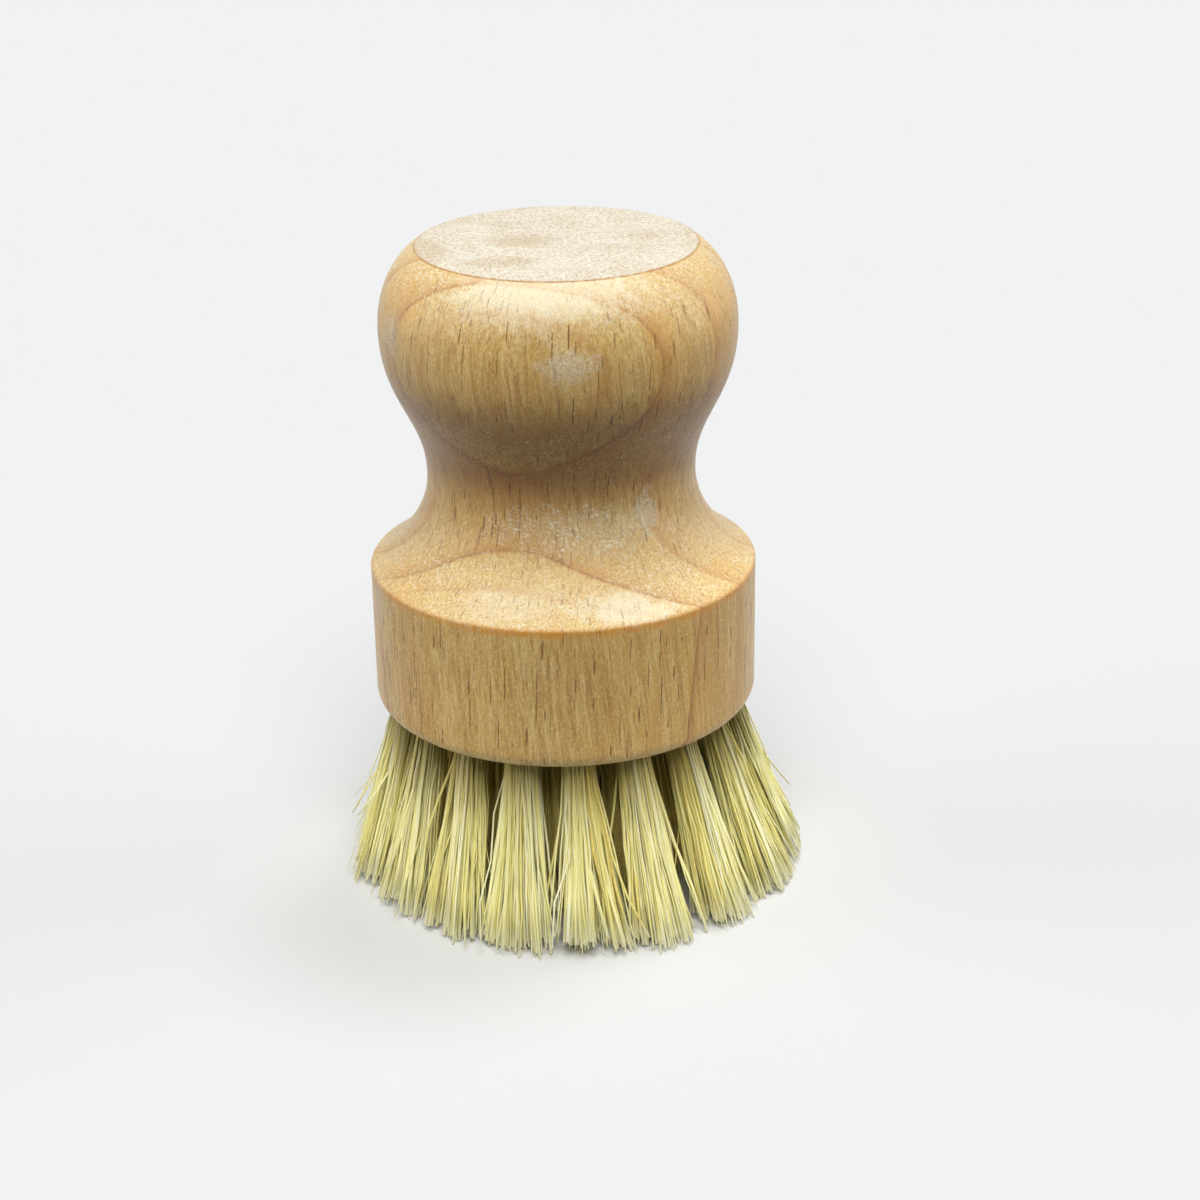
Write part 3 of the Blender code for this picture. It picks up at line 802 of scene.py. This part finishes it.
def handle_outline():
    """The turned outline, as in the solid, with finer steps and the flat's edge just broken."""
    bottom = arc(
        (BLOCK_RADIUS - BLOCK_BOTTOM_ROUNDING, TUFT_FACE + BLOCK_BOTTOM_ROUNDING),
        (BLOCK_BOTTOM_ROUNDING, BLOCK_BOTTOM_ROUNDING),
        -math.pi / 2,
        0,
        BOTTOM_STEPS,
    )
    rim_turn = math.pi / 2 - COVE_ANGLE
    rim_centre = (BLOCK_RADIUS - RIM_ROUNDING, RIM_LEVEL - RIM_ROUNDING * math.sin(rim_turn))
    rim = arc(rim_centre, (RIM_ROUNDING, RIM_ROUNDING), 0, rim_turn, RIM_STEPS)
    wall = straight(bottom[-1], rim[0], WALL_STEPS)
    cove_start = rim[-1]
    cove = bezier(
        cove_start,
        (
            cove_start[0] - COVE_REACH_AT_RIM * math.cos(COVE_ANGLE),
            cove_start[1] + COVE_REACH_AT_RIM * math.sin(COVE_ANGLE),
        ),
        (WAIST_RADIUS, WAIST_LEVEL - COVE_REACH_AT_WAIST),
        (WAIST_RADIUS, WAIST_LEVEL),
        COVE_STEPS,
    )
    swell = bezier(
        (WAIST_RADIUS, WAIST_LEVEL),
        (WAIST_RADIUS, WAIST_LEVEL + SWELL_REACH_AT_WAIST),
        (KNOB_RADIUS, KNOB_LEVEL - SWELL_REACH_AT_KNOB),
        (KNOB_RADIUS, KNOB_LEVEL),
        SWELL_STEPS,
    )
    crown_rise = CROWN_HEIGHT + CROWN_CUT_AWAY
    crown_end = math.asin((CROWN_HEIGHT - FLAT_EDGE) / crown_rise)
    crown_reach = (KNOB_RADIUS - FLAT_RADIUS) / (1 - math.cos(crown_end))
    crown_centre = (KNOB_RADIUS - crown_reach, KNOB_LEVEL)
    crown = arc(crown_centre, (crown_reach, crown_rise), 0, crown_end, CROWN_STEPS)
    edge_centre = (FLAT_RADIUS - FLAT_EDGE, FLAT_LEVEL - FLAT_EDGE)
    edge = arc(edge_centre, (FLAT_EDGE, FLAT_EDGE), 0, math.pi / 2, EDGE_STEPS)
    return bottom + wall[1:] + rim[1:] + cove[1:] + swell[1:] + crown[1:] + edge[1:]


def turned(name, outline, facets):
    """Spins an open outline of (radius, height) points about Z and closes both ends flat."""
    shape = bmesh.new()
    points = [shape.verts.new((radius, 0, height)) for radius, height in outline]
    edges = [shape.edges.new(pair) for pair in zip(points, points[1:])]
    bmesh.ops.spin(
        shape,
        geom=points + edges,
        cent=(0, 0, 0),
        axis=(0, 0, 1),
        angle=math.tau,
        steps=facets,
        use_merge=True,
    )
    rims = [edge for edge in shape.edges if edge.is_boundary]
    bmesh.ops.holes_fill(shape, edges=rims, sides=facets)
    bmesh.ops.recalc_face_normals(shape, faces=shape.faces)
    mesh = bpy.data.meshes.new(name)
    shape.to_mesh(mesh)
    shape.free()
    return mesh


def new_piece(name, mesh, material, node):
    """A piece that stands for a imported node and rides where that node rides."""
    piece = bpy.data.objects.new(name, mesh)
    bpy.context.scene.collection.objects.link(piece)
    mesh.materials.clear()
    mesh.materials.append(material)
    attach(piece, "root")
    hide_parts(node)


class TuftRing:
    """One circle of tufts, laid out as in the solids."""

    def __init__(self, name, count, lean, turn_share, hole_share, tip_shares, paleness):
        self.name = name
        self.count = count
        self.lean = math.radians(lean)
        self.turn_share = turn_share
        self.paleness = paleness
        flat_radius = BLOCK_RADIUS - BLOCK_BOTTOM_ROUNDING - LAND_AT_ROUNDING
        self.radius = hole_share * (flat_radius - HOLE_RADIUS / math.cos(self.lean))
        self.tip_radius, self.reach_out, self.reach_across = (
            BRUSH_FACE_RADIUS * part for part in tip_shares
        )

    def hole_frames(self):
        """For each tuft, its label, the turn to its place, and its hole's frame: +Z goes in."""
        for index in range(self.count):
            angle = (index + self.turn_share) * math.tau / self.count - math.pi / 2
            around = Matrix.Rotation(angle, 4, "Z")
            mouth = Matrix.Translation((self.radius, 0, TUFT_FACE))
            hole = around @ mouth @ Matrix.Rotation(-self.lean, 4, "Y")
            yield f"{self.name}_{index + 1:02d}", around, hole


# The inner rings' low paleness makes their bristles golden and darker: painted shade, as the outer
# ring shades them.
TUFT_RINGS = (
    TuftRing("outer", 18, 11, 0, hole_share=1, tip_shares=(0.905, 0.095, 0.165), paleness=1),
    TuftRing("middle", 10, 6, 0.585, hole_share=0.61, tip_shares=(0.53, 0.16, 0.15), paleness=0.2),
    TuftRing("centre", 1, 0, 0, hole_share=0, tip_shares=(0, 0.2, 0.2), paleness=0.2),
)


def drill_mesh():
    """Every drilled hole as one cutter."""
    mouth = -HOLE_RADIUS * math.tan(max(ring.lean for ring in TUFT_RINGS)) - CUT_OVERRUN
    tip = HOLE_DEPTH + (HOLE_RADIUS - DRILL_TIP_RADIUS) * math.tan(DRILL_POINT_SLOPE)
    outline = [(HOLE_RADIUS, mouth), (HOLE_RADIUS, HOLE_DEPTH), (DRILL_TIP_RADIUS, tip)]
    drill = turned("drill", outline, HOLE_FACETS)
    drills = bmesh.new()
    for ring in TUFT_RINGS:
        for _, _, hole in ring.hole_frames():
            placed = drill.copy()
            placed.transform(hole)
            drills.from_mesh(placed)
    mesh = bpy.data.meshes.new("drills")
    drills.to_mesh(mesh)
    drills.free()
    return mesh


def build_handle(material):
    blank = turned("handle_blank", handle_outline(), HANDLE_FACETS)
    body = bpy.data.objects.new("handle_blank", blank)
    cutter = bpy.data.objects.new("drills", drill_mesh())
    for helper in (body, cutter):
        bpy.context.scene.collection.objects.link(helper)
    drilling = body.modifiers.new("drilling", "BOOLEAN")
    drilling.operation = "DIFFERENCE"
    drilling.object = cutter
    drilled = body.evaluated_get(bpy.context.evaluated_depsgraph_get())
    mesh = bpy.data.meshes.new_from_object(drilled)
    for helper in (body, cutter):
        bpy.data.objects.remove(helper)
    mesh.shade_smooth()
    mesh.set_sharp_from_angle(angle=SHARP_ANGLE)
    new_piece("handle", mesh, material, "turned_handle")


def unit(vectors):
    return vectors / np.linalg.norm(vectors, axis=-1, keepdims=True)


def half_disc(count):
    """Even places over the half of the unit disc where X is positive."""
    index = np.arange(2 * count)
    turn = index * math.pi * (3 - math.sqrt(5))
    reach = np.sqrt((index + 0.5) / (2 * count))
    places = np.stack([reach * np.cos(turn), reach * np.sin(turn)], axis=1)
    return places[places[:, 0] > 0][:count]


def bristle_tips(ring, around, places, loose_bristles, random):
    """Each bristle's tip, with its clump and whether it is a stray."""
    count = len(places)
    spread = places / PACKED_RADIUS
    tips = np.stack(
        [ring.tip_radius + ring.reach_out * spread[:, 0], ring.reach_across * spread[:, 1]], axis=1
    )
    chosen = random.choice(count, CLUMPS, replace=False)
    clump = np.argmin(np.linalg.norm(places[:, None] - places[chosen][None], axis=2), axis=1)
    centres = tips[chosen] + random.normal(0, CLUMP_SHIFT, (CLUMPS, 2))
    tips = tips + CLUMP_PULL_SHARE * (centres[clump] - tips)
    wild = random.random(count) < WILD_SHARE
    jitter = np.where(wild, WILD_JITTER, TIP_JITTER)[:, None]
    tips = tips + random.normal(0, 1, (count, 2)) * jitter
    rise = random.exponential(TIP_RISE, count) + random.exponential(CLUMP_RISE, CLUMPS)[clump]
    rise = np.clip(rise, *TIP_RISE_LIMITS)
    tips = np.stack([tips[:, 0], tips[:, 1], rise], axis=1)
    for reach_share, splay in loose_bristles:
        loose = random.integers(count)
        drop = reach_share * (BRISTLE_LENGTH - TIP_RISE_LIMITS[0])
        out = ring.radius + PACKED_RADIUS + drop * math.tan(math.radians(splay))
        tips[loose] = (out, random.normal(0, LOOSE_SIDE_JITTER), BRISTLE_LENGTH - drop)
    tips = tips @ around[:3, :3].T
    tips[:, :2] += TIP_SHIFT
    reach = np.linalg.norm(tips[:, :2], axis=1, keepdims=True)
    tips[:, :2] *= np.minimum(1, SPREAD_LIMIT / reach)
    return tips, clump, wild


def bristle_legs(ring, around, hole, places, loose_bristles, random):
    """Stations of each bristle, from its tip to the wood, as (bristle, station, XYZ), and tones."""
    count = len(places)
    tips, clump, wild = bristle_tips(ring, around, places, loose_bristles, random)
    inner = np.concatenate([places, np.zeros((count, 1))], axis=1)
    roots = inner @ hole[:3, :3].T + hole[:3, 3]
    bows = roots - hole[:3, 2] * (0.5 * BRISTLE_LENGTH / math.cos(ring.lean))
    bows = bows + BOW_STRAIGHT_SHARE * ((roots + tips) / 2 - bows)
    bend = np.where(wild, WILD_BEND, 1.0)[:, None]
    bows = bows + random.normal(0, BOW_JITTER, (count, 3)) * bend
    shares = np.array(FREE_STATIONS[::-1])[None, :, None]
    legs = (
        roots[:, None] * (1 - shares) ** 2
        + bows[:, None] * (2 * shares * (1 - shares))
        + tips[:, None] * shares**2
    )
    waves = random.normal(0, FIBRE_WAVE, legs.shape) * np.sin(math.pi * shares)
    legs = legs + waves * bend[:, None]
    tones = (
        TONE_BASE
        + TONE_OF_CLUMP * random.random(CLUMPS)[clump]
        + TONE_OF_BRISTLE * random.random(count)
    )
    return legs, tones * ring.paleness


def fold_stations(hole, places):
    """Stations inside the wood: up the hole, over the staple's bridge and down the other side."""
    bridge = HOLE_DEPTH - STAPLE_BELOW_FOLD
    room = STAPLE_BELOW_FOLD - FIBRE_THICKEST
    across = places[:, 0] * FOLD_SHARE_ACROSS
    packed = places[:, 1] * FOLD_SHARE_ALONG
    deep = np.full(len(places), DEEP_STATION)
    over = bridge + FIBRE_THICKEST + (room - FIBRE_THICKEST) * places[:, 0] / PACKED_RADIUS
    shoulder = bridge + 0.5 * (over - bridge)
    way = (
        (1, deep),
        (SHOULDER_SHARE, shoulder),
        (0, over),
        (-SHOULDER_SHARE, shoulder),
        (-1, deep),
    )
    rows = [np.stack([across * share, packed, depth], axis=1) for share, depth in way]
    return np.stack(rows, axis=1) @ hole[:3, :3].T + hole[:3, 3]


def swept(paths, widths, rolls, across):
    """Corner places of flat tubes along the paths, as (fibre, station, side, XYZ).

    Without a roll, a tube is widest in the direction across, which no path runs along.
    """
    tangents = unit(np.gradient(paths, axis=1))
    sides = unit(across - tangents * np.sum(tangents * across, axis=2, keepdims=True))
    others = np.cross(tangents, sides)
    cosine, sine = np.cos(rolls)[..., None], np.sin(rolls)[..., None]
    wide = sides * cosine + others * sine
    thin = others * cosine - sides * sine
    heights = np.minimum(widths * FIBRE_FLATNESS_SHARE, FIBRE_THICKEST)
    angles = np.arange(FIBRE_SIDES) * math.tau / FIBRE_SIDES
    reach_wide = (widths[..., None] / 2 * np.cos(angles))[..., None]
    reach_thin = (heights[..., None] / 2 * np.sin(angles))[..., None]
    return paths[:, :, None] + wide[:, :, None] * reach_wide + thin[:, :, None] * reach_thin


def fibre_faces(fibres, stations):
    """Faces of the tubes with their ends closed, and each corner's place on the flat map.

    Each fibre has its own column of the map, so that every one of them holds some pixels.
    """
    faces, corners = [], []
    column, row = 1 / fibres, 1 / (stations + 1)
    for fibre in range(fibres):
        first = fibre * stations * FIBRE_SIDES
        left = fibre * column
        for station in range(stations - 1):
            low = first + station * FIBRE_SIDES
            high = low + FIBRE_SIDES
            for side in range(FIBRE_SIDES):
                after = (side + 1) % FIBRE_SIDES
                faces.append((low + side, low + after, high + after, high + side))
                u, v = left + column * side / FIBRE_SIDES, row * (station + 1)
                step = column / FIBRE_SIDES
                corners += [(u, v), (u + step, v), (u + step, v + row), (u, v + row)]
        for station, turn in ((0, -1), (stations - 1, 1)):
            start = first + station * FIBRE_SIDES
            faces.append([start + side for side in range(FIBRE_SIDES)][::turn])
            middle = row * 0.5 if station == 0 else 1 - row * 0.5
            for side in range(FIBRE_SIDES)[::turn]:
                angle = side * math.tau / FIBRE_SIDES
                u = left + column * (0.5 + CAP_REACH[0] * math.cos(angle))
                corners.append((u, middle + row * CAP_REACH[1] * math.sin(angle)))
    return faces, corners


def set_values(mesh, name, values):
    layer = mesh.attributes.new(name, "FLOAT", "POINT")
    layer.data.foreach_set("value", np.ascontiguousarray(values, dtype=np.float32).ravel())


def tuft_mesh(name, ring, around, hole, loose_bristles, seed):
    """One tuft: fibres folded in two, packed in the hole and fanned out to the level-cut face."""
    random = np.random.default_rng(seed)
    half = half_disc(FOLDED_FIBRES) * PACKED_RADIUS
    half = half + random.normal(0, PACKED_RADIUS * PACKED_JITTER_SHARE, half.shape)
    places = np.concatenate([half, half * (-1, 1)])
    legs, tones = bristle_legs(ring, around, hole, places, loose_bristles, random)
    first, second = legs[:FOLDED_FIBRES], legs[FOLDED_FIBRES:]
    paths = np.concatenate([first, fold_stations(hole, half), second[:, ::-1]], axis=1)
    stations = paths.shape[1]
    free = np.zeros(stations)
    free[: len(FREE_STATIONS)] = FREE_STATIONS[::-1]
    free[-len(FREE_STATIONS) :] = FREE_STATIONS
    widths = FIBRE_WIDTH * np.exp(random.normal(0, FIBRE_WIDTH_SPREAD, FOLDED_FIBRES))
    widths = np.clip(widths, *FIBRE_WIDTH_LIMITS)[:, None] * (1 - FIBRE_TIP_NARROWING * free**2)
    turns = random.normal(0, FIBRE_TURN, (FOLDED_FIBRES, 1))
    twists = random.normal(0, FIBRE_TWIST, (FOLDED_FIBRES, 1))
    rolls = turns + twists * np.linspace(-1, 1, stations)[None]
    points = swept(paths, widths, rolls, hole[:3, 1])
    faces, corners = fibre_faces(FOLDED_FIBRES, stations)
    mesh = bpy.data.meshes.new(name)
    mesh.from_pydata(points.reshape(-1, 3).tolist(), [], faces)
    flat_map = mesh.uv_layers.new(name="OFBake")
    flat_map.data.foreach_set("uv", np.array(corners, dtype=np.float32).ravel())
    on_first_leg = np.arange(stations) < stations / 2
    tone = np.where(on_first_leg, tones[:FOLDED_FIBRES, None], tones[FOLDED_FIBRES:, None])
    shape = (FOLDED_FIBRES, stations, FIBRE_SIDES)
    set_values(mesh, "tone", np.broadcast_to(tone[..., None], shape))
    set_values(mesh, "free", np.broadcast_to(free[None, :, None], shape))
    smooth = [True] * ((stations - 1) * FIBRE_SIDES) + [False, False]
    mesh.polygons.foreach_set("use_smooth", smooth * FOLDED_FIBRES)
    return mesh


def build_tufts(material):
    seed = 0
    for ring in TUFT_RINGS:
        for label, around, hole in ring.hole_frames():
            seed += 1
            name = f"bristles_{label}"
            loose_bristles = LOOSE_BRISTLES.get(label, ())
            mesh = tuft_mesh(name, ring, np.array(around), np.array(hole), loose_bristles, seed)
            new_piece(name, mesh, material, f"tuft_{label}")


def dress_staples(material):
    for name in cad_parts:
        if name.startswith("staple"):
            staple = bpy.data.objects[name]
            staple.data.materials.clear()
            staple.data.materials.append(material)


def floor_material():
    """A plain floor, pale to the eye. Round the brush it returns light to the bristles' tips, and
    farther off it returns little."""
    g = Graph(bpy.data.materials.new("pale_floor"))
    returned = g.fade(g.vector("LENGTH", g.place()), *FLOOR_RETURN_FADE)
    return g.finish(
        "Principled BSDF",
        Base_Color=g.mix(g.seen_or_mirrored(), returned, FLOOR_COLOUR),
        Roughness=FLOOR_ROUGHNESS,
        Specular_IOR_Level=FLOOR_SPECULAR,
    )


def build_floor():
    bpy.ops.mesh.primitive_circle_add(
        vertices=FLOOR_FACETS, radius=FLOOR_RADIUS, fill_type="NGON"
    )
    floor = bpy.context.object
    floor.name = "floor"
    floor.data.materials.append(floor_material())


def build_world():
    """A pale surrounding that gives little light."""
    g = Graph(bpy.data.worlds.new("studio"))
    values = {"Value": g.seen_or_mirrored(), "To Min": WORLD_LIGHT, "To Max": WORLD_SEEN}
    strength = g.node("ShaderNodeMapRange", values)
    bpy.context.scene.world = g.finish("Background", Color=WORLD_COLOUR, Strength=strength)


def build_lights():
    for name, azimuth, elevation, level, spread, colour in LAMPS:
        light = bpy.data.lights.new(name, "SUN")
        light.energy = level * math.pi
        light.angle = math.radians(spread)
        light.color = colour
        lamp = bpy.data.objects.new(name, light)
        side, rise = math.radians(azimuth), math.radians(elevation)
        out = math.cos(rise)
        towards = Vector((math.sin(side) * out, -math.cos(side) * out, math.sin(rise)))
        lamp.location = towards
        lamp.rotation_mode = "QUATERNION"
        lamp.rotation_quaternion = towards.to_track_quat("Z", "Y")
        bpy.context.scene.collection.objects.link(lamp)


def build_camera():
    camera = bpy.data.objects.new("camera", bpy.data.cameras.new("camera"))
    bpy.context.scene.collection.objects.link(camera)
    elevation, pitch, yaw = CAMERA_ELEVATION, CAMERA_PITCH, CAMERA_YAW
    place = Vector((0, -math.cos(elevation), math.sin(elevation))) * CAMERA_DISTANCE
    forward = Vector(
        (math.sin(yaw) * math.cos(pitch), math.cos(yaw) * math.cos(pitch), -math.sin(pitch))
    )
    right = Vector((math.cos(yaw), -math.sin(yaw), 0))
    facing = Matrix((right, right.cross(forward), -forward)).transposed().to_4x4()
    turn = Matrix.Rotation(CAMERA_TURN, 4, "Z")
    lift = Matrix.Translation((0, 0, TUFT_FACE))
    roll = Matrix.Rotation(CAMERA_ROLL, 4, "Z")
    camera.matrix_world = lift @ turn @ Matrix.Translation(place) @ facing @ roll
    camera.data.lens = CAMERA_LENS
    camera.data.sensor_width = CAMERA_SENSOR
    camera.data.clip_start = CAMERA_NEAREST
    bpy.context.scene.camera = camera


build_camera()
build_handle(Wood().material())
build_tufts(fibre_material())
dress_staples(wire_material())
build_floor()
build_world()
build_lights()
bpy.context.scene.view_settings.view_transform = "Standard"
